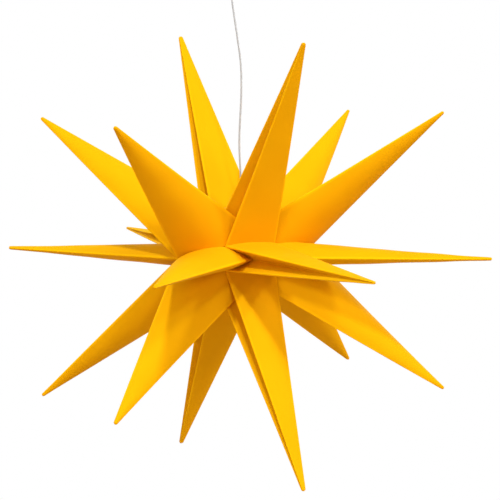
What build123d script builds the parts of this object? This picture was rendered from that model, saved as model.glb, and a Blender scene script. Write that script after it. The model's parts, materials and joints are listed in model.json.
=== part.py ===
from build123d import *

import math
import os

# All sizes are in millimetres. The origin is the eye of the hanger, +Z is up.
# The star's own axis lies along X; its pockets of three rays stand round that axis.

# Star
star_drop = 406.0  # eye of the hanger down to the centre of the star
pocket_count = 6
sheet = 0.8  # thickness of the folded plastic sheet
seam_gap = 0.1  # left between two neighbouring sheets in a seam
tip_radius = 2.4  # rounded end of every ray
solid_tip = 36.0  # length of a ray's end that is welded solid

# Mid ray, the middle one of each pocket: sizes of its root section
mid_reach = 285.0  # centre of the star to the tip
mid_root = 20.0  # centre of the star to the root section
mid_half_width = 33.5  # half the width of a broad panel
mid_crown = 17.7  # rise of a broad panel in its middle
mid_edge = 14.0  # rise of a broad panel at its edges
mid_fold = 21.0  # half the width between the two gusset folds

# Side ray, one towards each end of the star's axis: sizes of its root section
side_reach = 282.0
side_latitude = 48.8  # degrees from the ring of mid rays towards the end of the axis
side_root = 20.0
side_clear = 10.0  # centre of the star to where the mid ray starts to be kept clear of side rays
side_towards_mid = 29.4  # ray's centre line to the edge that meets the mid ray
side_towards_pole = 69.0  # ray's centre line to the edge that meets the star's axis
side_crown = 14.6  # rise of a bowed panel in its middle

# Closing clip in the top seam, with the hollow bolt that carries the star
clip_length = 34.0
clip_foot = 4.0  # bottom of the clip above the seam line
clip_height = 20.0  # top of the clip above the seam line
clip_clearance = 0.25  # left between clip or block and the sheets that they hold
block_half_width = 15.0
block_depth = 12.0  # bottom of the block below the seam line
block_shoulder = 6.0  # top of the block above the seam line
bolt_radius = 4.0
bolt_clearance = 0.15
bolt_proud = 2.0  # end of the bolt above the nut
bolt_chamfer = 0.5
flange_radius = 11.0
flange_thickness = 2.5
nut_across_flats = 13.0
nut_height = 5.0
nut_sides = 6
nut_chamfer = 0.6
thread_clearance = 0.05
seal_radius = 7.5
seal_thickness = 1.6
seal_round = 0.5
edge_round = 1.2
clip_end_round = 0.6

# Lamp inside the star
turn_clearance = 0.1  # under the flange that turns on the lamp cap
spigot_radius = 3.0
spigot_height = 4.5
spigot_clearance = 0.05
shoulder_radius = 12.0
shoulder_thickness = 3.0
shoulder_round = 0.75
skirt_radius = 9.4
skirt_height = 10.0
grip_radius = 6.0
grip_height = 7.0
grip_clearance = 0.05
board_width = 10.6
board_height = 27.0
board_thickness = 1.0
board_seat = 2.0  # depth of the board's slot in the cord grip
board_clearance = 0.05
chip_width = 2.8
chip_height = 3.5
chip_thickness = 0.8
chip_columns = 2
chip_rows = 3
chip_pitch = 6.0
wire_radius = 0.4
wire_length = 5.0
diffuser_wall = 1.2
diffuser_length = 37.0
diffuser_clearance = 0.1

# Cord
cord_diameter = 2.2
cord_bore_clearance = 0.6
cord_grip_clearance = 0.05
cord_lean = 30.0  # degrees from +X towards -Y: the plane in which the cord wanders
cord_straight = 11.5  # straight stretch at each end
radius_share = 0.45  # share of the shorter run that an arc takes up

# Hanger at the top of the cord
eye_radius = 5.0
hanger_width = 24.0
hanger_height = 48.0
hanger_half_depth = 7.0
hanger_flat = 34.0  # eye down to the flat underside
hanger_round = 2.0
boot_length = 18.0
boot_top_radius = 4.2
boot_end_radius = 2.4
boot_stem_radius = 2.6
boot_stem = 4.0
boot_collar_radius = 4.2
boot_collar = 2.0
boot_clearance = 0.05
boot_grooves = 3
groove_depth = 0.5
groove_width = 1.4
socket_radius = 4.5
socket_length = 13.0
socket_drop = 20.0  # eye down to the socket's axis
socket_bore = 2.75
socket_depth = 10.0
socket_chamfer = 0.4
socket_clearance = 0.05
contact_radius = 1.0
contact_length = 9.0
contact_round = 0.5
screw_places = [(-8.0, -20.0), (8.0, -9.5)]  # X and Z of each screw
screw_radius = 1.25
screw_length = 10.0
screw_head_radius = 2.2
screw_head_height = 1.8
screw_head_round = 0.6
recess_length = 2.6
recess_width = 0.7
recess_depth = 1.0
screw_head_sunk = 2.0
screw_clearance = 0.1


def scale_at(distance, root, tip, tip_scale):
    """Size of a ray's section at a distance from the centre, as a share of its root section."""
    return 1 + (tip_scale - 1) * (distance - root) / (tip - root)


# Worked out from the sizes above
pocket_angle = 360.0 / pocket_count
half_pocket = math.radians(pocket_angle / 2)
latitude = math.radians(side_latitude)
centre = Vector(0, 0, -star_drop)
star_axis = Axis(centre, (1, 0, 0))
mid_tip = mid_reach - tip_radius
side_tip = side_reach - tip_radius
mid_tip_scale = tip_radius / mid_half_width
side_chord = side_towards_mid + side_towards_pole
side_tip_scale = 2 * tip_radius / side_chord
side_offset = (side_towards_mid - side_towards_pole) / 2
mid_plane = Plane(centre, x_dir=(1, 0, 0), z_dir=(0, -1, 0))
side_plane = Plane(
    centre,
    x_dir=(-math.cos(latitude), -math.sin(latitude), 0),
    z_dir=(math.sin(latitude), -math.cos(latitude), 0),
)
pocket_planes = [
    Plane(centre, x_dir=(1, 0, 0), z_dir=(0, -math.sin(half_pocket), side * math.cos(half_pocket)))
    for side in (-1, 1)
]

# The seam between two pockets, where the crowned panels of two mid rays meet
crown_fall = mid_crown * (1 - mid_tip_scale) / (mid_tip - mid_root)
seam_reach = (mid_crown + crown_fall * mid_root) / (math.tan(half_pocket) + crown_fall)
seam_radius = seam_reach / math.cos(half_pocket)
valley_slope = math.tan(half_pocket + math.atan(crown_fall))
valley_sine = math.sin(half_pocket + math.atan(crown_fall))

# How much lower that seam lies at the ends of the clip, where the crown has fallen away
seam_scale = scale_at(seam_reach, mid_root, mid_tip, mid_tip_scale)
crown_drop = mid_crown - mid_edge
crown_bow = (mid_half_width**2 + crown_drop**2) / (2 * crown_drop)
clip_end = clip_length / 2 / seam_scale
crown_sag = seam_scale * (crown_bow - math.sqrt(crown_bow**2 - clip_end**2))
seam_drop = crown_sag / (math.tan(half_pocket) + crown_fall) / math.cos(half_pocket)

# Levels on the vertical axis, from the seam outwards
seam_z = centre.Z + seam_radius
block_bottom = seam_z - block_depth
flange_bottom = block_bottom - flange_thickness
clip_top = seam_z + clip_height
nut_bottom = clip_top + seal_thickness
bolt_top = nut_bottom + nut_height + bolt_proud
cap_top = flange_bottom - turn_clearance
shoulder_bottom = cap_top - shoulder_thickness
skirt_bottom = shoulder_bottom - skirt_height
grip_bottom = shoulder_bottom - grip_height
boot_top = -hanger_flat
boot_bottom = boot_top - boot_length
bolt_bore = cord_diameter / 2 + cord_bore_clearance

os.makedirs("parts", exist_ok=True)


def save(piece, name):
    piece.label = name
    export_step(piece, f"parts/{name}.step")


def mid_hull(inset, near, far):
    """The closed form of a mid ray between two sections, drawn inside its skin by inset."""
    with BuildPart() as hull:
        for distance in (near, far):
            scale = scale_at(distance, mid_root, mid_tip, mid_tip_scale)
            gusset_run = scale * (mid_half_width - mid_fold)
            edge = scale * mid_edge
            fold = scale * mid_fold - inset * math.hypot(gusset_run, edge) / edge
            half_width = fold + gusset_run * (edge - inset) / edge
            edge = edge - inset
            crown = scale * mid_crown - inset
            with BuildSketch(mid_plane.offset(distance)):
                with BuildLine():
                    ThreePointArc((-half_width, edge), (0, crown), (half_width, edge))
                    Polyline((half_width, edge), (fold, 0), (half_width, -edge))
                    ThreePointArc((half_width, -edge), (0, -crown), (-half_width, -edge))
                    Polyline((-half_width, -edge), (-fold, 0), (-half_width, edge))
                make_face()
        loft(ruled=True)
    return hull.part


def side_hull(inset, near, far):
    """The closed form of a side ray: two bowed panels that meet in two sharp edges."""
    with BuildPart() as hull:
        for distance in (near, far):
            scale = scale_at(distance, side_root, side_tip, side_tip_scale)
            crown = scale * side_crown
            bow = ((scale * side_chord / 2) ** 2 + crown**2) / (2 * crown)
            half_chord = math.sqrt((bow - inset) ** 2 - (bow - crown) ** 2)
            middle = scale * side_offset
            crown = crown - inset
            with BuildSketch(side_plane.offset(distance)):
                with BuildLine():
                    ThreePointArc((middle - half_chord, 0), (middle, crown), (middle + half_chord, 0))
                    ThreePointArc((middle + half_chord, 0), (middle, -crown), (middle - half_chord, 0))
                make_face()
        loft(ruled=True)
    return hull.part


# Hollows of the rays, run on past the root sections so that the rays open into each other
root_overrun = sheet
mid_hollow = mid_hull(sheet, mid_root - root_overrun, mid_tip - solid_tip)
right_hollow = side_hull(sheet, side_root - root_overrun, side_tip - solid_tip)
left_hollow = mirror(right_hollow, about=Plane.YZ)

# One mid ray: two crowned panels joined by a folded-in gusset on each side
with BuildPart() as mid_ray:
    add(mid_hull(0, mid_root, mid_tip))
    with BuildSketch(Plane(centre, x_dir=(1, 0, 0), z_dir=(0, 0, 1))):
        with Locations((0, -mid_tip)):
            Circle(tip_radius)
    extrude(amount=mid_crown * mid_tip_scale, both=True)
    add(mid_hollow, mode=Mode.SUBTRACT)
    add(right_hollow, mode=Mode.SUBTRACT)
    add(left_hollow, mode=Mode.SUBTRACT)
    for pocket_plane in pocket_planes:
        split(bisect_by=pocket_plane.offset(seam_gap / 2), keep=Keep.TOP)

# One side ray, cut where it runs into the gusset of the mid ray
with BuildPart() as side_ray:
    add(side_hull(0, side_root, side_tip))
    with BuildSketch(Plane(centre, x_dir=side_plane.x_dir, z_dir=(0, 0, 1))):
        with Locations((side_offset * side_tip_scale, side_tip)):
            Circle(tip_radius)
    extrude(amount=side_crown * side_tip_scale, both=True)
    add(right_hollow, mode=Mode.SUBTRACT)
    add(mid_hull(-seam_gap, side_clear, mid_tip), mode=Mode.SUBTRACT)
    for pocket_plane in pocket_planes:
        split(bisect_by=pocket_plane.offset(seam_gap / 2), keep=Keep.TOP)

# The pockets round the star's axis; the two beside the top seam are notched for the bolt
for pocket in range(pocket_count):
    turn = -pocket * pocket_angle
    with BuildPart() as mid_copy:
        add(mid_ray.part.rotate(star_axis, turn))
        with Locations((0, 0, seam_z)):
            Cylinder(bolt_radius + bolt_clearance, 2 * clip_height, mode=Mode.SUBTRACT)
    with BuildPart() as right_copy:
        add(side_ray.part.rotate(star_axis, turn))
    with BuildPart() as left_copy:
        add(right_copy.part)
        mirror(about=Plane.YZ, mode=Mode.REPLACE)
    save(mid_copy.part, f"ray_mid_{pocket + 1}")
    save(right_copy.part, f"ray_right_{pocket + 1}")
    save(left_copy.part, f"ray_left_{pocket + 1}")

# Wedge that lies in the valley of the top seam
foot_half = (clip_foot - clip_clearance / valley_sine) * valley_slope
top_half = (clip_height - clip_clearance / valley_sine) * valley_slope
with BuildPart() as seam_clip:
    with BuildSketch(Plane.YZ):
        with Locations((0, seam_z)):
            Polygon(
                (-foot_half, clip_foot),
                (foot_half, clip_foot),
                (top_half, clip_height),
                (-top_half, clip_height),
                align=None,
            )
    extrude(amount=clip_length / 2, both=True)
    fillet(seam_clip.faces().sort_by(Axis.Z)[-1].edges().filter_by(Axis.X), edge_round)
    fillet(seam_clip.faces().filter_by(Axis.X).edges(), clip_end_round)
    with Locations((0, 0, clip_top)):
        Hole(bolt_radius + bolt_clearance)
save(seam_clip.part, "seam_clip")

# Block inside the star that holds the two sheets up against the clip
notch_rise = seam_drop + (sheet + clip_clearance) / valley_sine
notch_half = (block_shoulder + notch_rise) * valley_slope
with BuildPart() as seam_block:
    with BuildSketch(Plane.YZ):
        with Locations((0, seam_z)):
            Polygon(
                (-block_half_width, -block_depth),
                (block_half_width, -block_depth),
                (block_half_width, block_shoulder),
                (notch_half, block_shoulder),
                (0, -notch_rise),
                (-notch_half, block_shoulder),
                (-block_half_width, block_shoulder),
                align=None,
            )
    extrude(amount=clip_length / 2, both=True)
    fillet(seam_block.edges().filter_by(Axis.X).group_by(Axis.Z)[0], edge_round)
    with Locations((0, 0, block_bottom)):
        Hole(bolt_radius + bolt_clearance)
save(seam_block.part, "seam_block")

# Hollow bolt through block, seam and clip; its flange turns on the lamp cap
with BuildPart() as gland_bolt:
    with BuildSketch(Plane.XZ):
        with BuildLine():
            Polyline(
                (spigot_radius + spigot_clearance, flange_bottom),
                (flange_radius, flange_bottom),
                (flange_radius, block_bottom),
                (bolt_radius, block_bottom),
                (bolt_radius, bolt_top),
                (bolt_bore, bolt_top),
                (bolt_bore, cap_top + spigot_height + turn_clearance),
                (spigot_radius + spigot_clearance, cap_top + spigot_height + turn_clearance),
                close=True,
            )
        make_face()
    revolve(axis=Axis.Z)
    bolt_rims = gland_bolt.edges().filter_by(GeomType.CIRCLE).group_by(Axis.Z)[-1]
    chamfer(bolt_rims.sort_by(SortBy.RADIUS)[-1], bolt_chamfer)
save(gland_bolt.part, "gland_bolt")

with BuildPart() as gland_seal:
    with BuildSketch(Plane.XY.offset(clip_top)):
        Circle(seal_radius)
        Circle(bolt_radius + bolt_clearance, mode=Mode.SUBTRACT)
    extrude(amount=seal_thickness)
    fillet(gland_seal.edges().filter_by(GeomType.CIRCLE).group_by(SortBy.RADIUS)[-1], seal_round)
save(gland_seal.part, "gland_seal")

with BuildPart() as gland_nut:
    with BuildSketch(Plane.XY.offset(nut_bottom)):
        RegularPolygon(nut_across_flats / 2, nut_sides, major_radius=False)
        Circle(bolt_radius + thread_clearance, mode=Mode.SUBTRACT)
    extrude(amount=nut_height)
    chamfer(gland_nut.faces().sort_by(Axis.Z)[-1].outer_wire().edges(), nut_chamfer)
save(gland_nut.part, "gland_nut")

# Lamp cap: its spigot turns in the bolt, its skirt takes the diffuser, its recess the cord grip
with BuildPart() as lamp_cap:
    with BuildSketch(Plane.XZ):
        with BuildLine():
            Polyline(
                (cord_diameter / 2 + cord_grip_clearance, cap_top + spigot_height),
                (spigot_radius, cap_top + spigot_height),
                (spigot_radius, cap_top),
                (shoulder_radius, cap_top),
                (shoulder_radius, shoulder_bottom),
                (skirt_radius, shoulder_bottom),
                (skirt_radius, skirt_bottom),
                (grip_radius + grip_clearance, skirt_bottom),
                (grip_radius + grip_clearance, shoulder_bottom),
                (cord_diameter / 2 + cord_grip_clearance, shoulder_bottom),
                close=True,
            )
        make_face()
    revolve(axis=Axis.Z)
    fillet(lamp_cap.edges().filter_by(GeomType.CIRCLE).group_by(SortBy.RADIUS)[-1], shoulder_round)
save(lamp_cap.part, "lamp_cap")

# Cord grip: a collar on the cord's end, slotted below for the board
with BuildPart() as cord_grip:
    with BuildSketch(Plane.XY.offset(grip_bottom)):
        Circle(grip_radius)
        Circle(cord_diameter / 2 + cord_grip_clearance, mode=Mode.SUBTRACT)
    extrude(amount=grip_height)
    with Locations((0, 0, grip_bottom)):
        Box(
            board_width + 2 * board_clearance,
            board_thickness + 2 * board_clearance,
            board_seat,
            align=(Align.CENTER, Align.CENTER, Align.MIN),
            mode=Mode.SUBTRACT,
        )
save(cord_grip.part, "cord_grip")

board_top = grip_bottom + board_seat - board_clearance
board_middle = board_top - board_height / 2
with BuildPart() as led_board:
    with BuildSketch(Plane.XZ.offset(-board_thickness / 2)):
        with Locations((0, board_middle)):
            RectangleRounded(board_width - 2 * board_clearance, board_height, edge_round)
    extrude(amount=board_thickness)
save(led_board.part, "led_board")

# Light chips on both faces of the board
chip_middle = board_middle - chip_height
with BuildPart() as led_chips:
    for face in (-1, 1):
        with Locations((0, face * (board_thickness + chip_thickness) / 2, chip_middle)):
            with GridLocations(chip_pitch, 0, chip_columns, 1):
                for row in range(chip_rows):
                    with Locations((0, 0, (row - (chip_rows - 1) / 2) * chip_pitch)):
                        Box(chip_width, chip_thickness, chip_height)
save(led_chips.part, "led_chips")

# Bare ends of the two wires, lying on the board under the grip
with BuildPart() as lead_wires:
    for face in (-1, 1):
        with BuildSketch(Plane.XY.offset(grip_bottom)):
            with Locations((0, face * (board_thickness / 2 + wire_radius + board_clearance))):
                Circle(wire_radius)
        extrude(amount=-wire_length)
save(lead_wires.part, "lead_wires")

# Diffuser: a thin cup with a domed end, pushed over the skirt of the cap
diffuser_inner = skirt_radius + diffuser_clearance
diffuser_outer = diffuser_inner + diffuser_wall
diffuser_top = shoulder_bottom - diffuser_clearance
dome_centre = diffuser_top - diffuser_length + diffuser_outer
with BuildPart() as lamp_diffuser:
    with BuildSketch(Plane.XZ):
        with BuildLine():
            Line((diffuser_inner, diffuser_top), (diffuser_outer, diffuser_top))
            Line((diffuser_outer, diffuser_top), (diffuser_outer, dome_centre))
            RadiusArc(
                (diffuser_outer, dome_centre),
                (0, dome_centre - diffuser_outer),
                diffuser_outer,
            )
            Line((0, dome_centre - diffuser_outer), (0, dome_centre - diffuser_inner))
            RadiusArc(
                (0, dome_centre - diffuser_inner),
                (diffuser_inner, dome_centre),
                -diffuser_inner,
            )
            Line((diffuser_inner, dome_centre), (diffuser_inner, diffuser_top))
        make_face()
    revolve(axis=Axis.Z)
save(lamp_diffuser.part, "lamp_diffuser")

# Cord: a straight tail inside bolt and lamp, then the free stretch up to the hanger.
# Each point of the route is its sideways place and its height over the centre of the star.
with BuildPart() as cord_tail:
    with BuildSketch(Plane.XY.offset(grip_bottom + board_seat)):
        Circle(cord_diameter / 2)
    extrude(amount=bolt_top - grip_bottom - board_seat)
save(cord_tail.part, "cord_tail")

cord_start = bolt_top - centre.Z
cord_end = boot_bottom - centre.Z
cord_route = [
    (0.0, cord_start),
    (0.0, cord_start + cord_straight),
    (-2.6, 100.0),
    (-4.2, 126.0),
    (-3.6, 150.0),
    (-1.8, 174.0),
    (-0.8, 198.0),
    (-1.3, 222.0),
    (-4.6, 248.0),
    (-9.0, 276.0),
    (-11.9, 298.0),
    (-11.0, 315.0),
    (-5.5, 331.0),
    (0.0, cord_end - cord_straight),
    (0.0, cord_end),
]
lean = math.radians(cord_lean)
cord_points = [
    Vector(aside * math.cos(lean), -aside * math.sin(lean), height) + centre for aside, height in cord_route
]
cord_radii = []
for before, corner, after in zip(cord_points, cord_points[1:], cord_points[2:]):
    run_in = corner - before
    run_out = after - corner
    half_turn = math.radians(run_in.get_angle(run_out)) / 2
    cord_radii.append(radius_share * min(run_in.length, run_out.length) / math.tan(half_turn))
with BuildPart() as cord:
    with BuildLine() as cord_line:
        FilletPolyline(*cord_points, radius=cord_radii)
    with BuildSketch(Plane(cord_points[0], z_dir=(0, 0, 1))):
        Circle(cord_diameter / 2)
    sweep()
save(cord.part, "cord")
cord_length = sum(edge.length for edge in cord_line.edges())
cord_area = math.pi * (cord_diameter / 2) ** 2
print("cord radii", [round(radius, 1) for radius in cord_radii])
print("cord length", round(cord_length, 2), "start", round(cord_start, 2), "end", round(cord_end, 2))
print("cord volume", round(cord.part.volume, 2), "of", round(cord_area * cord_length, 2))

# Hanger: two halves screwed together over the boot's collar and the power socket
boot_collar_bottom = boot_top + boot_stem
for name, side in (("hanger_front", -1), ("hanger_back", 1)):
    outer_y = side * hanger_half_depth
    with BuildPart() as hanger_half:
        with BuildSketch(Plane.XZ):
            with Locations((0, (hanger_width - hanger_height) / 2)):
                SlotOverall(hanger_height, hanger_width, rotation=90)
            with Locations((0, -hanger_flat)):
                Rectangle(
                    hanger_width,
                    hanger_height,
                    align=(Align.CENTER, Align.MAX),
                    mode=Mode.SUBTRACT,
                )
        extrude(amount=-outer_y)
        fillet(hanger_half.faces().sort_by(Axis.Y)[-1 if side > 0 else 0].edges(), hanger_round)
        with BuildSketch(Plane.XZ):
            Circle(eye_radius)
        extrude(amount=-outer_y, mode=Mode.SUBTRACT)
        with BuildSketch(Plane.YZ.offset(hanger_width / 2 - socket_length)):
            with Locations((0, -socket_drop)):
                Circle(socket_radius + socket_clearance)
        extrude(amount=socket_length, mode=Mode.SUBTRACT)
        with BuildSketch(Plane.XY.offset(boot_top)):
            Circle(boot_stem_radius + boot_clearance)
        extrude(amount=boot_stem, mode=Mode.SUBTRACT)
        with BuildSketch(Plane.XY.offset(boot_collar_bottom)):
            Circle(boot_collar_radius + boot_clearance)
        extrude(amount=boot_collar + boot_clearance, mode=Mode.SUBTRACT)
        with BuildSketch(Plane.XZ):
            with Locations(*screw_places):
                Circle(screw_radius + screw_clearance)
        extrude(amount=hanger_half_depth, mode=Mode.SUBTRACT)
        with BuildSketch(Plane.XZ.offset(hanger_half_depth)):
            with Locations(*screw_places):
                Circle(screw_head_radius + screw_clearance)
        extrude(amount=-screw_head_sunk, mode=Mode.SUBTRACT)
        screw_reach = screw_length + screw_head_sunk - hanger_half_depth
        with BuildSketch(Plane.XZ):
            with Locations(*screw_places):
                Circle(screw_radius + screw_clearance)
        extrude(amount=-screw_reach, mode=Mode.SUBTRACT)
    save(hanger_half.part, name)

# Pan-headed screws of the hanger, with a cross recess in each head
screw_seat = hanger_half_depth - screw_head_sunk
with BuildPart() as hanger_screws:
    with BuildSketch(Plane.XZ.offset(screw_seat)):
        with Locations(*screw_places):
            Circle(screw_head_radius)
    extrude(amount=screw_head_height)
    fillet(hanger_screws.faces().filter_by(Axis.Y).group_by(Axis.Y)[0].edges(), screw_head_round)
    with BuildSketch(Plane.XZ.offset(screw_seat + screw_head_height)):
        with Locations(*screw_places):
            Rectangle(recess_length, recess_width)
            Rectangle(recess_width, recess_length)
    extrude(amount=-recess_depth, mode=Mode.SUBTRACT)
    with BuildSketch(Plane.XZ.offset(screw_seat)):
        with Locations(*screw_places):
            Circle(screw_radius)
    extrude(amount=-screw_length)
save(hanger_screws.part, "hanger_screws")

# Strain relief boot: stem and collar held in the hanger, a ringed taper below
with BuildPart() as cord_boot:
    with BuildSketch(Plane.XZ):
        with BuildLine():
            Polyline(
                (0, boot_bottom),
                (boot_end_radius, boot_bottom),
                (boot_top_radius, boot_top),
                (boot_stem_radius, boot_top),
                (boot_stem_radius, boot_collar_bottom),
                (boot_collar_radius, boot_collar_bottom),
                (boot_collar_radius, boot_collar_bottom + boot_collar),
                (0, boot_collar_bottom + boot_collar),
                close=True,
            )
        make_face()
    revolve(axis=Axis.Z)
    boot_step = boot_length / (boot_grooves + 1)
    for groove in range(boot_grooves):
        level = boot_bottom + (groove + 1) * boot_step
        radius = boot_end_radius + (boot_top_radius - boot_end_radius) * (groove + 1) / (boot_grooves + 1)
        with BuildSketch(Plane.XY.offset(level - groove_width / 2)):
            Circle(boot_top_radius + groove_depth)
            Circle(radius - groove_depth, mode=Mode.SUBTRACT)
        extrude(amount=groove_width, mode=Mode.SUBTRACT)
save(cord_boot.part, "cord_boot")

# Power socket with its contact pin, open at the side of the hanger
with BuildPart() as inlet_socket:
    with BuildSketch(Plane.YZ.offset(hanger_width / 2 - socket_length)):
        with Locations((0, -socket_drop)):
            Circle(socket_radius)
    extrude(amount=socket_length)
    with BuildSketch(Plane.YZ.offset(hanger_width / 2)):
        with Locations((0, -socket_drop)):
            Circle(socket_bore)
    extrude(amount=-socket_depth, mode=Mode.SUBTRACT)
    chamfer(inlet_socket.faces().sort_by(Axis.X)[-1].inner_wires()[0].edges(), socket_chamfer)
save(inlet_socket.part, "inlet_socket")

with BuildPart() as inlet_contact:
    with BuildSketch(Plane.YZ.offset(hanger_width / 2 - socket_depth)):
        with Locations((0, -socket_drop)):
            Circle(contact_radius)
    extrude(amount=contact_length)
    fillet(inlet_contact.faces().sort_by(Axis.X)[-1].edges(), contact_round)
save(inlet_contact.part, "inlet_contact")
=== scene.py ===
import json
import math
from functools import partial
from typing import Callable, NamedTuple

import bpy
import numpy as np
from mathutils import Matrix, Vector


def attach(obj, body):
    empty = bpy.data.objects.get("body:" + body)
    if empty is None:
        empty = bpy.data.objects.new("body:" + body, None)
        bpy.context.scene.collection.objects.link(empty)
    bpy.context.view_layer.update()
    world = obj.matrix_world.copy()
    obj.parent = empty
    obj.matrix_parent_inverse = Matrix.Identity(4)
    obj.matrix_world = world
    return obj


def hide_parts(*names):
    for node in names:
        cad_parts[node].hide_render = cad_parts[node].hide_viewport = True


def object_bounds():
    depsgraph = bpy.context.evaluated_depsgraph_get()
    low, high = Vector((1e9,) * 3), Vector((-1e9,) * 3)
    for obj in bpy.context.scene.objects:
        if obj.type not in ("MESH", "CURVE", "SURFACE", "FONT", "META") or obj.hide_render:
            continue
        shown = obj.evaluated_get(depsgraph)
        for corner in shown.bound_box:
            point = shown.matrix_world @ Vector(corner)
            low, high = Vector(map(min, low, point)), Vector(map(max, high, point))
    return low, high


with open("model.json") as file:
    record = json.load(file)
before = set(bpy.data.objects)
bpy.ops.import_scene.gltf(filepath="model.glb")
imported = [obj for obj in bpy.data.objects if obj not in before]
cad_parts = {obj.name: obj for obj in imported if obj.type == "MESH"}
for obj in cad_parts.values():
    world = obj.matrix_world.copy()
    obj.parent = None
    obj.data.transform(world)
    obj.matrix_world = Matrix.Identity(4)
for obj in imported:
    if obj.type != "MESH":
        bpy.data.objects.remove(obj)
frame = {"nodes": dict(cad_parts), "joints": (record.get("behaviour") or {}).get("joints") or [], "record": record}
cad_low, cad_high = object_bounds()

# All sizes are in metres, in the frame of the part: the hanger's eye is the origin, +Z is up.
# The star's own axis lies along X, and its ends are the star's poles. A place in a pocket is given
# by s along that axis, u straight out from the star's centre and t across the pocket. A ray's
# section is drawn in x and y, at a distance w out along the ray.

# Star
CENTRE = np.array(frame["joints"][0]["pos_m"])
POCKETS = 6
HALF_POCKET = math.pi / POCKETS
SHEET = 0.0008
FOLD_RADIUS = 0.0010  # outside of a fold
FULL_FOLD_AT = 0.25  # share of the root section above which a fold has that radius
BURIED = 0.0004  # how far a ray's root runs into the ray that it meets
SOLID_TIP = 0.036
TIP_RADIUS = 0.0024
TIP_FADE = 0.012  # over which a ray swells to its rounded tip
MID_PLUMP = 0.15  # how much thicker that makes the tip
SIDE_PLUMP = 1.3

# Mid ray, at its root section
MID_REACH = 0.285
MID_TIP = MID_REACH - TIP_RADIUS
MID_ROOT = 0.020
MID_HALF_WIDTH = 0.0335
MID_CROWN = 0.0177
MID_EDGE = 0.0140
MID_RISE = MID_CROWN - MID_EDGE
MID_FOLD = 0.0100  # half the width between the two gusset folds
MID_TIP_FOLD = 0.0280  # the gussets get shallower towards the tip
FOLD_FADE_FROM = 0.115
MID_ASIDE = -0.0021  # how far the folded mid rays stand off the middle of the star

# Side ray, at its root section
SIDES = {"right": 1, "left": -1}
SIDE_REACH = 0.282
SIDE_TIP = SIDE_REACH - TIP_RADIUS
SIDE_LATITUDE = math.radians(48.8)
SIDE_ROOT = 0.020
SIDE_TOWARDS_MID = 0.0294
SIDE_TOWARDS_POLE = {"right": 0.0724, "left": 0.0655}
SIDE_CROWN = 0.0146

# Rays that the folding left uneven: narrower towards the mid ray, or with a share of their
# thickness or of their width towards the pole lost further out
NARROWER = {"right_2": 0.0280, "right_3": 0.0242, "right_5": 0.0249, "right_6": 0.0214}
FLATTENED = {"mid_4": 0.11}
PINCHED = {"right_3": 0.229, "right_5": 0.144}
LOSS_FROM = 0.080
LOSS_FULL = 0.150

# How far the tips stand off their even places, as the sheet was folded: along the star's axis,
# outwards and across the pocket
LEAN_FROM = 0.060
UPRIGHT = (0.0, 0.0, 0.0)
TIP_LEANS = {
    "mid_1": (-0.0012, -0.0008, 0.0011),
    "left_1": (0.0013, 0.0009, -0.0009),
    "right_1": (0.0062, 0.0034, 0.0015),
    "mid_2": (-0.0012, 0.0001, 0.0009),
    "left_2": (0.0026, 0.0005, -0.0015),
    "right_2": (0.0037, 0.0033, 0.0),
    "mid_3": (0.0001, 0.0005, -0.0003),
    "left_3": (0.0027, -0.0015, -0.0011),
    "right_3": (-0.0051, -0.0031, 0.0044),
    "mid_4": (0.0001, 0.0003, -0.0029),
    "left_4": (0.0022, -0.0012, -0.0011),
    "mid_5": (-0.0009, 0.0016, 0.0006),
    "left_5": (0.0007, 0.0002, 0.0006),
    "right_5": (-0.0031, -0.0030, -0.0047),
    "mid_6": (0.0, 0.0031, -0.0012),
    "left_6": (0.0009, 0.0013, 0.0),
    "right_6": (0.0065, 0.0041, 0.0024),
}

# Slow unevenness of the blown panels
WAVE_HEIGHT = 0.00022
WAVE_LENGTH = 0.075
WAVE_LENGTH_ACROSS = 0.060
WAVE_SLANT = 9.0  # radians by which the waves across move on in a metre along the ray
PHASE_ACROSS = 1.7  # times the phase of the waves along
POCKET_PHASE = 1.3  # radians from one pocket to the next
KIND_PHASE = {"mid": 3.0, "right": 5.0, "left": 4.0}

# Mesh of a ray
FOLD_STEPS = 6
PANEL_STEPS = 18
GUSSET_STEPS = 7
LENGTH_STEPS = 44
INNER_STEPS = 10
NOSE_STEPS = 6
SKIN_RINGS = LENGTH_STEPS + NOSE_STEPS - 1
FOLD_GUARD = 0.04  # share of a panel between a fold and the panel's first line of points
ROOT_SEARCH = 240
HALVINGS = 22
SHARP_ANGLE = math.radians(50)

# Folded sheet of the star; noises are in cells a metre
SHEET_DARK = (0.79, 0.408, 0.0026)
SHEET_LIGHT = (0.81, 0.430, 0.0030)
SHEET_FOLD_HIGHLIGHT = (0.93, 0.52, 0.003)  # painted highlight on the outward folds, standing in for the light that the rounded folds catch
SHEET_CLOUDS = 16
SHEET_GLOSS = 60
SHEET_ROUGHNESS = (0.50, 0.62)
SHEET_GRAIN = 1500
SHEET_GRAIN_DEPTH = 0.00004
SHEET_GRAIN_STRENGTH = 0.15
SHEET_DENTS = 45
SHEET_DENT_DEPTH = 0.0004
SHEET_DENT_STRENGTH = 0.25
SHEET_SHEEN = 0.015
SHEET_SHEEN_TINT = (1.0, 0.62, 0.01)

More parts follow.
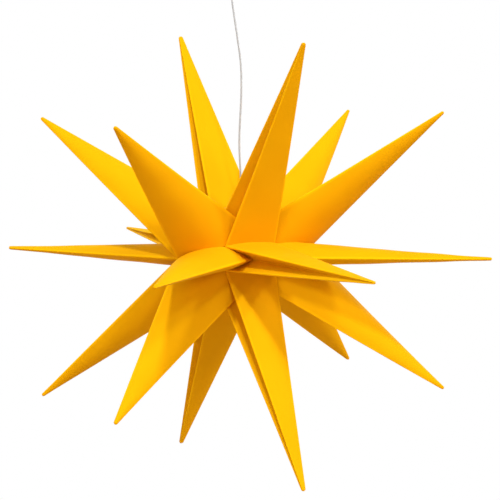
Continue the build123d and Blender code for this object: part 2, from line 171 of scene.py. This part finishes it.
# Finishes of the other pieces: light and dark colour, roughness, grains a metre, depth of the grain
FINISHES = {
    "cord_sheath": ((0.48, 0.53, 0.58), (0.43, 0.48, 0.53), 0.38, 2600, 0.00001),
    "clip_plastic": ((0.90, 0.46, 0.008), (0.86, 0.42, 0.006), 0.45, 1800, 0.00005),
    "soft_rubber": ((0.06, 0.06, 0.06), (0.04, 0.04, 0.04), 0.70, 2400, 0.00006),
    "hanger_plastic": ((0.54, 0.58, 0.62), (0.50, 0.54, 0.58), 0.48, 2000, 0.00006),
    "screw_steel": ((0.62, 0.62, 0.61), (0.50, 0.50, 0.50), 0.30, 3500, 0.00002),
    "socket_plastic": ((0.035, 0.035, 0.037), (0.02, 0.02, 0.022), 0.40, 2200, 0.00004),
    "contact_metal": ((0.75, 0.72, 0.66), (0.62, 0.60, 0.55), 0.22, 4000, 0.00001),
    "boot_rubber": ((0.48, 0.52, 0.56), (0.44, 0.48, 0.52), 0.60, 2600, 0.00005),
    "lamp_plastic": ((0.62, 0.63, 0.64), (0.58, 0.59, 0.60), 0.45, 1800, 0.00005),
    "board_laminate": ((0.68, 0.70, 0.68), (0.62, 0.65, 0.62), 0.42, 1500, 0.00003),
    "light_chip": ((0.86, 0.62, 0.10), (0.80, 0.55, 0.07), 0.30, 1500, 0.00002),
    "diffuser_plastic": ((0.72, 0.71, 0.69), (0.68, 0.67, 0.65), 0.35, 1500, 0.00003),
}
METALS = ("screw_steel", "contact_metal")
CLOUD_SIZE = 12  # grains across a cloud of colour
GLOSS_SIZE = 4  # grains across a change of gloss
GLOSS_SPREAD = 0.06  # of the roughness, up and down
GRAIN_STRENGTH = 0.6
NOISE_RANGE = (0.3, 0.7)  # where most of a noise lies

# Cord
CORD_DIAMETER = 0.0022
CORD_LEAN = math.radians(30)  # from +X towards -Y: the plane in which the cord wanders
CORD_ROUTE = [  # sideways place and height over the star's centre
    (0.0, 0.06279),
    (0.0, 0.07429),
    (-0.0012, 0.100),
    (-0.0024, 0.126),
    (-0.0018, 0.150),
    (-0.0003, 0.174),
    (0.0003, 0.198),
    (-0.0005, 0.222),
    (-0.0042, 0.248),
    (-0.0084, 0.276),
    (-0.0114, 0.298),
    (-0.0107, 0.315),
    (-0.0055, 0.331),
    (0.0, 0.3425),
    (0.0, 0.354),
]
CORD_ORDER = 3
CORD_STEPS = 12  # from one point of the route to the next
CORD_ROUND_STEPS = 5

# Camera, floor and light
CAMERA_AZIMUTH = math.radians(-30)
CAMERA_ELEVATION = math.radians(7.2)
CAMERA_DISTANCE = 2.537
CAMERA_LENS = 158.0
CAMERA_SHIFT = (0.0174, 0.0087)
FLOOR_BELOW = 0.60
FLOOR_HALF = 9.0
FLOOR_SHADOW_RADIUS = 0.90
FLOOR_WHITE_RADIUS = 1.50
FLOOR_COLOUR = (0.72, 0.72, 0.72)
FLOOR_BOUNCE = (0.50, 0.39, 0.32)  # what the floor throws back on the star
FLOOR_ROUGHNESS = 0.9
WORLD_LEVEL = 0.14
WHITE = (1.0, 1.0, 1.0)
WARM = (1.0, 0.78, 0.60)
LAMP_DISTANCE = 6.0
LAMPS = [  # name, azimuth and elevation from the star in degrees, width, level, colour
    ("lamp_key", -30, 55, 0.45, 0.47, WHITE),
    ("lamp_front_right", -10, 40, 0.6, 0.235, WHITE),
    ("lamp_front_left", -50, 40, 0.9, 0.04, WHITE),
    ("lamp_right", 50, 40, 0.6, 0.29, WHITE),
    ("lamp_right_low", 50, 25, 1.2, 0.23, WARM),
    ("lamp_front_low", 10, 25, 1.2, 0.17, WARM),
    ("lamp_left", -90, 40, 1.8, 0.14, WHITE),
    ("lamp_low", -50, 5, 2.4, 0.18, WARM),
    ("lamp_back", -150, 50, 3.0, 0.27, WHITE),
    ("lamp_behind_right", 115, 12, 2.4, 0.28, WHITE),
    ("lamp_behind_left", -175, 12, 2.4, 0.28, WHITE),
]


# Outline of a ray's section


class Outline(NamedTuple):
    """A closed section, or a stretch of it.

    A point of the section at some scale is scale * point + fold radius * move, so that the folds
    keep their radius. Slopes are the outward directions. On outward folds, folds is 1.
    """

    points: np.ndarray
    moves: np.ndarray
    slopes: np.ndarray
    folds: np.ndarray


def bowed(start, end, rise, share):
    """Points and outward slopes along a side of the outline: a chord that bows out by rise."""
    chord = np.hypot(*(end - start))
    along = (end - start) / chord
    outward = np.array([along[1], -along[0]])
    turn = 2 * math.atan2(2 * rise, chord) * (1 - 2 * share)
    if rise:
        radius = (chord**2 / 4 + rise**2) / (2 * rise)
        aside = -radius * np.sin(turn)
        lift = radius * np.cos(turn) - (radius - rise)
    else:
        aside = (share - 0.5) * chord
        lift = 0 * share
    points = (start + end) / 2 + np.outer(aside, along) + np.outer(lift, outward)
    slopes = np.outer(np.cos(turn), outward) - np.outer(np.sin(turn), along)
    return points, slopes


def turned(vector, angle):
    cosine, sine = np.cos(angle), np.sin(angle)
    x = cosine * vector[0] - sine * vector[1]
    y = sine * vector[0] + cosine * vector[1]
    return np.stack([x, y], -1)


def rounded_fold(corners, rises, index):
    """The fold at a corner. An outward fold is pushed out to reach as far as the sharp corner."""
    corner = corners[index]
    after = corners[(index + 1) % len(corners)]
    _, slope_in = bowed(corners[index - 1], corner, rises[index - 1], np.array([1.0]))
    _, slope_out = bowed(corner, after, rises[index], np.array([0.0]))
    way_in = turned(slope_in[0], math.pi / 2)
    way_out = turned(slope_out[0], math.pi / 2)
    cross = way_in[0] * way_out[1] - way_in[1] * way_out[0]
    turn = math.atan2(cross, way_in @ way_out)
    side = math.copysign(1, turn)
    slopes = turned(slope_in[0], turn * np.linspace(0, 1, FOLD_STEPS))
    centre = -way_in * abs(math.tan(turn / 2)) - side * slope_in[0]
    moves = centre + side * slopes
    if turn > 0:
        moves = moves + turned(slope_in[0], turn / 2) * (1 / math.cos(turn / 2) - 1)
    points = np.repeat(corner[None], FOLD_STEPS, 0)
    return Outline(points, moves, slopes, np.full(FOLD_STEPS, max(side, 0)))


def rounded_outline(corners, rises, steps):
    """A closed section with rounded folds at its corners and sides that bow out by their rises."""
    corners = [np.array(corner) for corner in corners]
    count = len(corners)
    folds = [rounded_fold(corners, rises, index) for index in range(count)]
    stretches = []
    for index, fold in enumerate(folds):
        following = (index + 1) % count
        share = np.linspace(FOLD_GUARD, 1 - FOLD_GUARD, steps[index])
        points, slopes = bowed(corners[index], corners[following], rises[index], share)
        moves = np.outer(1 - share, fold.moves[-1]) + np.outer(share, folds[following].moves[0])
        stretches += [fold, Outline(points, moves, slopes, np.zeros(len(share)))]
    return Outline(*(np.concatenate(arrays) for arrays in zip(*stretches)))


def mid_outline(fold):
    """A mid ray's section: two crowned panels, and two gussets that fold at a place off the middle."""
    corners = [
        (MID_HALF_WIDTH, -MID_EDGE),
        (fold, 0.0),
        (MID_HALF_WIDTH, MID_EDGE),
        (-MID_HALF_WIDTH, MID_EDGE),
        (-fold, 0.0),
        (-MID_HALF_WIDTH, -MID_EDGE),
    ]
    rises = [0, 0, MID_RISE] * 2
    return rounded_outline(corners, rises, [GUSSET_STEPS, GUSSET_STEPS, PANEL_STEPS] * 2)


def side_outline(towards_mid, towards_pole):
    """A side ray's section: two bowed panels that meet in sharp edges."""
    corners = [(towards_mid, 0.0), (-towards_pole, 0.0)]
    return rounded_outline(corners, [SIDE_CROWN] * 2, [PANEL_STEPS] * 2)


def ray_name(kind, pocket):
    return f"{kind}_{pocket + 1}"


def side_widths(kind, pocket):
    """How far a side ray's section reaches towards the mid ray and towards the pole."""
    towards_mid = NARROWER.get(ray_name(kind, pocket), SIDE_TOWARDS_MID)
    return towards_mid, SIDE_TOWARDS_POLE[kind]


# Where a ray meets its neighbours


def tapered(w, root, tip, tip_scale):
    """Size of a ray's section at a distance out, as a share of its root section."""
    return 1 + (tip_scale - 1) * (w - root) / (tip - root)


def mid_scale(w):
    return tapered(w, MID_ROOT, MID_TIP, TIP_RADIUS / MID_HALF_WIDTH)


def side_scale(w, chord):
    return tapered(w, SIDE_ROOT, SIDE_TIP, 2 * TIP_RADIUS / chord)


def in_mid_ray(s, u, t):
    s = s - MID_ASIDE
    scale = mid_scale(u)
    roof = scale * (MID_EDGE + MID_RISE * (1 - (s / (scale * MID_HALF_WIDTH)) ** 2))
    gusset = scale * MID_FOLD + (MID_HALF_WIDTH - MID_FOLD) * np.abs(t) / MID_EDGE
    return (np.abs(t) < roof - BURIED) & (np.abs(s) < gusset - BURIED)


def in_side_ray(s, u, t, pocket):
    widths = zip(side_widths("right", pocket), side_widths("left", pocket))
    towards_mid, towards_pole = (np.where(s > 0, right, left) for right, left in widths)
    s = np.abs(s)
    w = s * math.sin(SIDE_LATITUDE) + u * math.cos(SIDE_LATITUDE)
    x = u * math.sin(SIDE_LATITUDE) - s * math.cos(SIDE_LATITUDE)
    half_chord = (towards_mid + towards_pole) / 2
    scale = side_scale(w, 2 * half_chord)
    bow = (half_chord**2 + SIDE_CROWN**2) / (2 * SIDE_CROWN)
    reach = np.maximum((scale * bow) ** 2 - (x - scale * (towards_mid - half_chord)) ** 2, 0)
    return np.abs(t) < np.sqrt(reach) - scale * (bow - SIDE_CROWN) - BURIED


def in_next_pocket(u, t):
    return np.abs(t) > u * math.tan(HALF_POCKET)


def mid_place(x, y, w):
    return x + MID_ASIDE, w, y


def side_place(x, y, w, side):
    s = w * math.sin(SIDE_LATITUDE) - x * math.cos(SIDE_LATITUDE)
    u = w * math.cos(SIDE_LATITUDE) + x * math.sin(SIDE_LATITUDE)
    return side * s, u, y


def mid_blocked(x, y, w, pocket):
    s, u, t = mid_place(x, y, w)
    return in_next_pocket(u, t) | in_side_ray(s, u, t, pocket)


def side_blocked(x, y, w, side):
    s, u, t = side_place(x, y, w, side)
    return in_next_pocket(u, t) | in_mid_ray(s, u, t)


# Shape of a ray


class Shape(NamedTuple):
    """A ray's sections at its root and its tip, how they shrink, its neighbours and its two ends.

    Middle is the x of the nose. Plump is the share that the tip swells by, and pinch and flatten
    are the shares of width and thickness that are lost further out.
    """

    outline: Outline
    tip_outline: Outline
    scale_at: Callable
    blocked: Callable
    place: Callable
    root: float
    tip: float
    middle: float
    plump: float
    pinch: float = 0.0
    flatten: float = 0.0


def mid_shape(pocket):
    return Shape(
        outline=mid_outline(MID_FOLD),
        tip_outline=mid_outline(MID_TIP_FOLD),
        scale_at=mid_scale,
        blocked=partial(mid_blocked, pocket=pocket),
        place=mid_place,
        root=MID_ROOT,
        tip=MID_TIP,
        middle=0.0,
        plump=MID_PLUMP,
        flatten=FLATTENED.get(ray_name("mid", pocket), 0.0),
    )


def side_shape(kind, pocket):
    towards_mid, towards_pole = side_widths(kind, pocket)
    outline = side_outline(towards_mid, towards_pole)
    scale_at = partial(side_scale, chord=towards_mid + towards_pole)
    pinch = PINCHED.get(ray_name(kind, pocket), 0.0)
    return Shape(
        outline=outline,
        tip_outline=outline,
        scale_at=scale_at,
        blocked=partial(side_blocked, side=SIDES[kind]),
        place=partial(side_place, side=SIDES[kind]),
        root=SIDE_ROOT,
        tip=SIDE_TIP,
        middle=(towards_mid - (1 - pinch) * towards_pole) / 2 * scale_at(SIDE_TIP),
        plump=SIDE_PLUMP,
        pinch=pinch,
    )


def smooth(share):
    share = np.clip(share, 0, 1)
    return share**2 * (3 - 2 * share)


def section(shape, w):
    """Points of a ray's section, each at its own distance out from the star's centre."""
    faded = smooth((w - FOLD_FADE_FROM) / (shape.tip - FOLD_FADE_FROM))[:, None]
    points = (1 - faded) * shape.outline.points + faded * shape.tip_outline.points
    moves = (1 - faded) * shape.outline.moves + faded * shape.tip_outline.moves
    scale = shape.scale_at(w)
    radius = FOLD_RADIUS * np.minimum(1, scale / FULL_FOLD_AT)
    x = scale * points[:, 0] + radius * moves[:, 0]
    y = scale * points[:, 1] + radius * moves[:, 1]
    lost = smooth((w - LOSS_FROM) / (LOSS_FULL - LOSS_FROM))
    x = np.where(x < 0, (1 - shape.pinch * lost) * x, x)
    thicker = 1 + shape.plump * np.exp((w - shape.tip) / TIP_FADE)
    return x, thicker * (1 - shape.flatten * lost) * y


def root_places(shape):
    """For each point of the outline, how far out its line starts to be clear of the neighbours."""
    count = len(shape.outline.points)
    clear = np.full(count, shape.tip)
    stop = np.full(count, shape.root)
    found = np.zeros(count, bool)
    for distance in np.linspace(shape.tip, shape.root, ROOT_SEARCH):
        row = np.full(count, distance)
        hit = shape.blocked(*section(shape, row), row) & ~found
        stop[hit] = distance
        found |= hit
        clear[~found] = distance
    for _ in range(HALVINGS):
        middle = (clear + stop) / 2
        hit = shape.blocked(*section(shape, middle), middle)
        stop = np.where(hit, middle, stop)
        clear = np.where(hit, clear, middle)
    return (clear + stop) / 2


def skin_rings(shape, start):
    """Rings of the ray's skin from its root round the nose, each as x, y and w."""
    rings = []
    for share in np.linspace(0, 1, LENGTH_STEPS):
        w = start + (shape.tip - start) * share
        rings.append((*section(shape, w), w))
    x_tip, y_tip, w_tip = rings[-1]
    for step in range(1, NOSE_STEPS):
        angle = math.pi / 2 * step / NOSE_STEPS
        x = shape.middle + (x_tip - shape.middle) * math.cos(angle)
        rings.append((x, y_tip * math.cos(angle), w_tip + TIP_RADIUS * math.sin(angle)))
    return rings


def hollow_rings(shape, start):
    """Rings of the ray's hollow from its root to the solid tip, each as x, y and w."""
    slopes = shape.outline.slopes
    rings = []
    for share in np.linspace(0, 1, INNER_STEPS):
        w = start + (shape.tip - SOLID_TIP - start) * share
        x, y = section(shape, w)
        rings.append((x - SHEET * slopes[:, 0], y - SHEET * slopes[:, 1], w))
    return rings


def unevenness(x, w, phase):
    """Slow waves over a panel, along and across it."""
    along = np.sin(2 * math.pi * w / WAVE_LENGTH + phase)
    across = np.cos(2 * math.pi * x / WAVE_LENGTH_ACROSS + PHASE_ACROSS * phase + WAVE_SLANT * w)
    return WAVE_HEIGHT * along * across


# Mesh of a ray


def pocket_frame(pocket):
    turn = 2 * math.pi * pocket / POCKETS
    outward = np.array([0, -math.cos(turn), math.sin(turn)])
    across = np.array([0, math.sin(turn), math.cos(turn)])
    return outward, across


def ray_points(shape, pocket, phase, lean):
    """Points of the skin's rings, the nose, the hollow's rings and the end of the hollow."""
    start = root_places(shape)
    end = shape.tip + TIP_RADIUS
    slopes = shape.outline.slopes
    outward, across = pocket_frame(pocket)

    def in_frame(x, y, w):
        share = np.maximum((w - LEAN_FROM) / (end - LEAN_FROM), 0) ** 2
        s, u, t = (place + share * move for place, move in zip(shape.place(x, y, w), lean))
        return CENTRE + np.outer(s, (1, 0, 0)) + np.outer(u, outward) + np.outer(t, across)

    def on_middle(w):
        return in_frame(np.array([shape.middle]), np.zeros(1), w)

    points = []
    for x, y, w in skin_rings(shape, start):
        fade = (1 - shape.outline.folds) * np.clip((shape.tip - w) / SOLID_TIP, 0, 1)
        swell = unevenness(x, w, phase) * fade
        points.append(in_frame(x + swell * slopes[:, 0], y + swell * slopes[:, 1], w))
    points.append(on_middle(np.array([end])))
    hollow = hollow_rings(shape, start)
    for ring in hollow:
        points.append(in_frame(*ring))
    hollow_end = hollow[-1][2]
    points.append(on_middle(hollow_end[:1]))
    return np.concatenate(points)


def ring_edges(first, count):
    """Pairs of neighbouring points on a ring that starts at the first point."""
    return [(first + i, first + (i + 1) % count) for i in range(count)]


def strip(first, second, count):
    """Faces between two rings."""
    edges = zip(ring_edges(first, count), ring_edges(second, count))
    return [(a, b, d, c) for (a, b), (c, d) in edges]


def ray_faces(count):
    """Faces of the skin and the nose, the hollow and its end, and the rim between them at the root."""
    nose = SKIN_RINGS * count
    hollow = nose + 1
    hollow_end = hollow + INNER_STEPS * count
    faces = []
    for row in range(SKIN_RINGS - 1):
        faces += strip(row * count, (row + 1) * count, count)
    faces += [(a, b, nose) for a, b in ring_edges(nose - count, count)]
    for row in range(INNER_STEPS - 1):
        faces += strip(hollow + (row + 1) * count, hollow + row * count, count)
    faces += [(b, a, hollow_end) for a, b in ring_edges(hollow_end - count, count)]
    return faces + strip(hollow, 0, count)


def ray_object(name, points, folds, mirrored):
    """A ray as a closed shell. Its fold attribute marks the outward folds of the skin, where the sheet material
    paints a highlight.
    """
    faces = ray_faces(len(folds))
    if mirrored:
        faces = [face[::-1] for face in faces]
    mesh = bpy.data.meshes.new(name)
    mesh.from_pydata(points.tolist(), [], faces)
    fold_values = np.zeros(len(points))
    fold_values[: SKIN_RINGS * len(folds)] = np.tile(folds, SKIN_RINGS)
    mesh.attributes.new("fold", "FLOAT", "POINT").data.foreach_set("value", fold_values)
    mesh.shade_smooth()
    mesh.set_sharp_from_angle(angle=SHARP_ANGLE)
    mesh.update()
    ray = bpy.data.objects.new(name, mesh)
    bpy.context.scene.collection.objects.link(ray)
    return ray


# Materials

# Sockets of a colour mix, which share their names with those of its other data types
FIRST_COLOUR = 6
SECOND_COLOUR = 7
MIXED_COLOUR = 2


def new_material(name):
    material = bpy.data.materials.new(name)
    material.use_nodes = True
    tree = material.node_tree
    return material, tree, tree.nodes["Principled BSDF"]


def noise(tree, scale, detail=2.0):
    place = tree.nodes.new("ShaderNodeTexCoord")
    texture = tree.nodes.new("ShaderNodeTexNoise")
    texture.inputs["Scale"].default_value = scale
    texture.inputs["Detail"].default_value = detail
    tree.links.new(place.outputs["Object"], texture.inputs["Vector"])
    return texture.outputs[0]


def spread(tree, value, low, high):
    """The middle part of a noise, stretched from low to high."""
    node = tree.nodes.new("ShaderNodeMapRange")
    node.inputs["From Min"].default_value = NOISE_RANGE[0]
    node.inputs["From Max"].default_value = NOISE_RANGE[1]
    node.inputs["To Min"].default_value = low
    node.inputs["To Max"].default_value = high
    tree.links.new(value, node.inputs["Value"])
    return node.outputs["Result"]


def blend_colours(tree, factor, first, second):
    node = tree.nodes.new("ShaderNodeMix")
    node.data_type = "RGBA"
    tree.links.new(factor, node.inputs["Factor"])
    for index, colour in ((FIRST_COLOUR, first), (SECOND_COLOUR, second)):
        if isinstance(colour, bpy.types.NodeSocket):
            tree.links.new(colour, node.inputs[index])
        else:
            node.inputs[index].default_value = (*colour, 1)
    return node.outputs[MIXED_COLOUR]


def bumped(tree, height, depth, strength, under=None):
    node = tree.nodes.new("ShaderNodeBump")
    node.inputs["Distance"].default_value = depth
    node.inputs["Strength"].default_value = strength
    tree.links.new(height, node.inputs["Height"])
    if under is not None:
        tree.links.new(under, node.inputs["Normal"])
    return node.outputs["Normal"]


def moulded(name, light, dark, roughness, grain, depth):
    """A moulded surface: two near colours in soft clouds, fine grain, and gloss that varies a little."""
    material, tree, shader = new_material(name)
    clouds = spread(tree, noise(tree, grain / CLOUD_SIZE, detail=3.0), 0.0, 1.0)
    tree.links.new(blend_colours(tree, clouds, dark, light), shader.inputs["Base Color"])
    low, high = roughness - GLOSS_SPREAD, roughness + GLOSS_SPREAD
    gloss = spread(tree, noise(tree, grain / GLOSS_SIZE), low, high)
    tree.links.new(gloss, shader.inputs["Roughness"])
    bump = bumped(tree, noise(tree, grain, detail=4.0), depth, GRAIN_STRENGTH)
    tree.links.new(bump, shader.inputs["Normal"])
    shader.inputs["Metallic"].default_value = float(name in METALS)
    return material


def star_sheet_material():
    """The yellow sheet: nearly matt, with faint clouds, fine grain, soft dents and a painted highlight on the
    outward folds.
    """
    material, tree, shader = new_material("star_sheet")
    clouds = spread(tree, noise(tree, SHEET_CLOUDS, detail=3.0), 0.0, 1.0)
    body = blend_colours(tree, clouds, SHEET_DARK, SHEET_LIGHT)
    fold = tree.nodes.new("ShaderNodeAttribute")
    fold.attribute_name = "fold"
    # Painted highlight: the outward folds are made lighter, as where light catches the rounded folds
    body = blend_colours(tree, fold.outputs["Fac"], body, SHEET_FOLD_HIGHLIGHT)
    tree.links.new(body, shader.inputs["Base Color"])
    gloss = spread(tree, noise(tree, SHEET_GLOSS, detail=3.0), *SHEET_ROUGHNESS)
    tree.links.new(gloss, shader.inputs["Roughness"])
    grain = noise(tree, SHEET_GRAIN, detail=3.0)
    grain = bumped(tree, grain, SHEET_GRAIN_DEPTH, SHEET_GRAIN_STRENGTH)
    dents = bumped(tree, noise(tree, SHEET_DENTS), SHEET_DENT_DEPTH, SHEET_DENT_STRENGTH, grain)
    tree.links.new(dents, shader.inputs["Normal"])
    shader.inputs["Specular IOR Level"].default_value = SHEET_SHEEN
    shader.inputs["Specular Tint"].default_value = (*SHEET_SHEEN_TINT, 1)
    return material


sheet_material = star_sheet_material()
finishes = {name: moulded(name, *finish) for name, finish in FINISHES.items()}


def dress(piece, slot, body, *nodes):
    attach(piece, body)
    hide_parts(*nodes)


# The star: eighteen rays, each in place of its solid
for pocket in range(POCKETS):
    shapes = {
        "mid": mid_shape(pocket),
        "right": side_shape("right", pocket),
        "left": side_shape("left", pocket),
    }
    for kind, shape in shapes.items():
        name = ray_name(kind, pocket)
        phase = POCKET_PHASE * pocket + KIND_PHASE[kind]
        points = ray_points(shape, pocket, phase, TIP_LEANS.get(name, UPRIGHT))
        ray = ray_object(f"ray_{name}_skin", points, shape.outline.folds, kind == "left")
        ray.data.materials.append(sheet_material)
        dress(ray, "star_sheet", "star", f"ray_{name}")

# Clip, lamp and hanger keep their solids and take a finish
for subpart in frame["record"]["subparts"]:
    finish = finishes.get(subpart["material_slot"])
    if finish is not None:
        mesh = frame["nodes"][subpart["node"]].data
        mesh.materials.clear()
        mesh.materials.append(finish)

# Cord
cord_curve = bpy.data.curves.new("cord_sheath", "CURVE")
cord_curve.dimensions = "3D"
cord_spline = cord_curve.splines.new("NURBS")
cord_spline.points.add(len(CORD_ROUTE) - 1)
for point, (aside, height) in zip(cord_spline.points, CORD_ROUTE):
    x = aside * math.cos(CORD_LEAN)
    y = -aside * math.sin(CORD_LEAN)
    point.co = (*(CENTRE + np.array([x, y, height])), 1)
cord_spline.order_u = CORD_ORDER
cord_spline.use_endpoint_u = True
cord_spline.resolution_u = CORD_STEPS
cord_curve.bevel_depth = CORD_DIAMETER / 2
cord_curve.bevel_resolution = CORD_ROUND_STEPS
cord_curve.use_fill_caps = True
cord = bpy.data.objects.new("cord_sheath", cord_curve)
bpy.context.scene.collection.objects.link(cord)
cord_curve.materials.append(finishes["cord_sheath"])
dress(cord, "cord_sheath", "hanger", "cord")

# Floor and white surroundings


def camera_white(tree):
    """1 for what the camera sees, also in a mirror or through glass, and 0 for light on the object."""
    path = tree.nodes.new("ShaderNodeLightPath")
    seen = path.outputs["Is Camera Ray"]
    for kind in ("Is Glossy Ray", "Is Transmission Ray"):
        either = tree.nodes.new("ShaderNodeMath")
        either.operation = "MAXIMUM"
        tree.links.new(seen, either.inputs[0])
        tree.links.new(path.outputs[kind], either.inputs[1])
        seen = either.outputs["Value"]
    return seen


def floor_material():
    """Pale floor that shows the shadow below the star and is white further out."""
    material, tree, shader = new_material("studio_floor")
    seen = camera_white(tree)
    colour = blend_colours(tree, seen, FLOOR_BOUNCE, FLOOR_COLOUR)
    tree.links.new(colour, shader.inputs["Base Color"])
    shader.inputs["Roughness"].default_value = FLOOR_ROUGHNESS
    shader.inputs["Specular IOR Level"].default_value = 0.0
    place = tree.nodes.new("ShaderNodeTexCoord")
    distance = tree.nodes.new("ShaderNodeVectorMath")
    distance.operation = "LENGTH"
    tree.links.new(place.outputs["Object"], distance.inputs[0])
    fade = tree.nodes.new("ShaderNodeMapRange")
    fade.interpolation_type = "SMOOTHSTEP"
    fade.inputs["From Min"].default_value = FLOOR_SHADOW_RADIUS
    fade.inputs["From Max"].default_value = FLOOR_WHITE_RADIUS
    tree.links.new(distance.outputs["Value"], fade.inputs["Value"])
    bright = tree.nodes.new("ShaderNodeMath")
    bright.operation = "MULTIPLY"
    tree.links.new(fade.outputs["Result"], bright.inputs[0])
    tree.links.new(seen, bright.inputs[1])
    white = tree.nodes.new("ShaderNodeEmission")
    mixed = tree.nodes.new("ShaderNodeMixShader")
    tree.links.new(bright.outputs["Value"], mixed.inputs["Fac"])
    tree.links.new(shader.outputs["BSDF"], mixed.inputs[1])
    tree.links.new(white.outputs["Emission"], mixed.inputs[2])
    tree.links.new(mixed.outputs["Shader"], tree.nodes["Material Output"].inputs["Surface"])
    return material


floor_mesh = bpy.data.meshes.new("floor")
floor_corners = [(x * FLOOR_HALF, y * FLOOR_HALF, 0) for x, y in ((-1, -1), (1, -1), (1, 1), (-1, 1))]
floor_mesh.from_pydata(floor_corners, [], [(0, 1, 2, 3)])
floor_mesh.materials.append(floor_material())
floor = bpy.data.objects.new("floor", floor_mesh)
floor.location = (CENTRE[0], CENTRE[1], cad_low.z - FLOOR_BELOW)
bpy.context.scene.collection.objects.link(floor)

world = bpy.data.worlds.new("studio")
bpy.context.scene.world = world
world.use_nodes = True
world_tree = world.node_tree
background = world_tree.nodes["Background"]
seen = camera_white(world_tree)
world_tree.links.new(blend_colours(world_tree, seen, WARM, WHITE), background.inputs["Color"])
level = world_tree.nodes.new("ShaderNodeMapRange")
level.inputs["To Min"].default_value = WORLD_LEVEL
level.inputs["To Max"].default_value = 1.0
world_tree.links.new(seen, level.inputs["Value"])
world_tree.links.new(level.outputs["Result"], background.inputs["Strength"])

# Lamps and camera


def direction(azimuth, elevation):
    flat = math.cos(elevation)
    return Vector((math.sin(azimuth) * flat, -math.cos(azimuth) * flat, math.sin(elevation)))


def aim(thing, way, distance):
    """Puts a lamp or the camera at a distance from the star, looking at its centre."""
    thing.location = Vector(CENTRE) + way * distance
    thing.rotation_mode = "QUATERNION"
    thing.rotation_quaternion = (-way).to_track_quat("-Z", "Y")
    bpy.context.scene.collection.objects.link(thing)


def lamp_power(lamp_level):
    """Power of a lamp: at one level, the same light reaches the star from any distance."""
    return lamp_level * math.pi**2 * LAMP_DISTANCE**2


for name, azimuth, elevation, width, lamp_level, colour in LAMPS:
    lamp = bpy.data.lights.new(name, "AREA")
    lamp.shape = "SQUARE"
    lamp.size = width
    lamp.color = colour
    lamp.energy = lamp_power(lamp_level)
    way = direction(math.radians(azimuth), math.radians(elevation))
    aim(bpy.data.objects.new(name, lamp), way, LAMP_DISTANCE)

camera_data = bpy.data.cameras.new("camera")
camera_data.lens = CAMERA_LENS
camera_data.shift_x, camera_data.shift_y = CAMERA_SHIFT
camera = bpy.data.objects.new("camera", camera_data)
aim(camera, direction(CAMERA_AZIMUTH, CAMERA_ELEVATION), CAMERA_DISTANCE)
bpy.context.scene.camera = camera

bpy.context.scene.view_settings.view_transform = "Standard"
